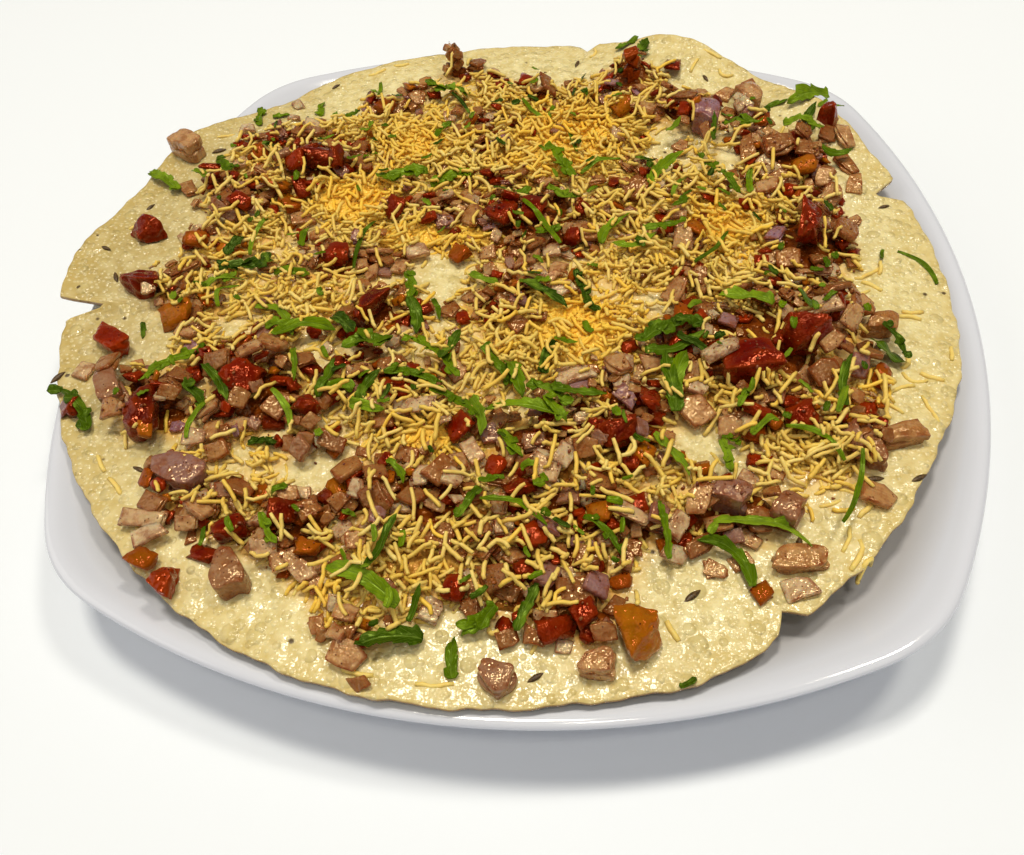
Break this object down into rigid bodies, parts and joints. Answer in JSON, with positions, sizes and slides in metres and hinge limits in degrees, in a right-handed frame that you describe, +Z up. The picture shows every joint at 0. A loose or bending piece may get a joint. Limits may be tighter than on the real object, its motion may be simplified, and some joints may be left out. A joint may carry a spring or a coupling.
{
  "type": "masala papad on plate",
  "caption": "Crisp fried lentil wafer lying on a soft-square plate, covered with onion and tomato dice, coriander leaf and fine fried gram noodles.",
  "frame": {"origin": "middle of the plate's foot, on the surface it stands on", "axes": "+Z up; the plate's four sides face along X and Y; -Y is the front, nearest to the viewer in the picture"},
  "size_m": [0.2554, 0.25, 0.0424],
  "materials": {
    "plate": "glossy white glaze with a cool cast",
    "papad": "crisp fried wafer, blistered, slightly oily",
    "topping": "spiced onion and tomato with fine yellow noodles",
    "sev": "fine fried gram flour noodles",
    "tomato": "wet ripe tomato, some with skin",
    "onion": "moist translucent onion stained by spice",
    "leaf": "fresh coriander leaf"
  },
  "bodies": {
    "root": {"plate": "plate", "papad": "papad", "topping": "topping", "tomato_1": "tomato", "tomato_2": "tomato", "tomato_3": "tomato", "tomato_4": "tomato", "tomato_5": "tomato", "tomato_6": "tomato", "tomato_7": "tomato", "tomato_8": "tomato", "tomato_9": "tomato", "tomato_10": "tomato", "tomato_11": "tomato", "tomato_12": "tomato", "tomato_13": "tomato", "tomato_14": "tomato", "tomato_15": "tomato", "tomato_16": "tomato", "tomato_17": "tomato", "tomato_18": "tomato", "onion_1": "onion", "onion_2": "onion", "onion_3": "onion", "onion_4": "onion", "onion_5": "onion", "onion_6": "onion", "onion_7": "onion", "onion_8": "onion", "onion_9": "onion", "onion_10": "onion", "onion_11": "onion", "onion_12": "onion", "onion_13": "onion", "onion_14": "onion", "onion_15": "onion", "leaf_1": "leaf", "leaf_2": "leaf", "leaf_3": "leaf", "leaf_4": "leaf", "leaf_5": "leaf", "leaf_6": "leaf", "leaf_7": "leaf", "leaf_8": "leaf", "leaf_9": "leaf", "leaf_10": "leaf", "leaf_11": "leaf", "leaf_12": "leaf", "leaf_13": "leaf", "leaf_14": "leaf", "leaf_15": "leaf", "leaf_16": "leaf", "leaf_17": "leaf", "leaf_18": "leaf", "leaf_19": "leaf", "leaf_20": "leaf", "leaf_21": "leaf", "leaf_22": "leaf", "leaf_23": "leaf"}
  },
  "joints": []
}
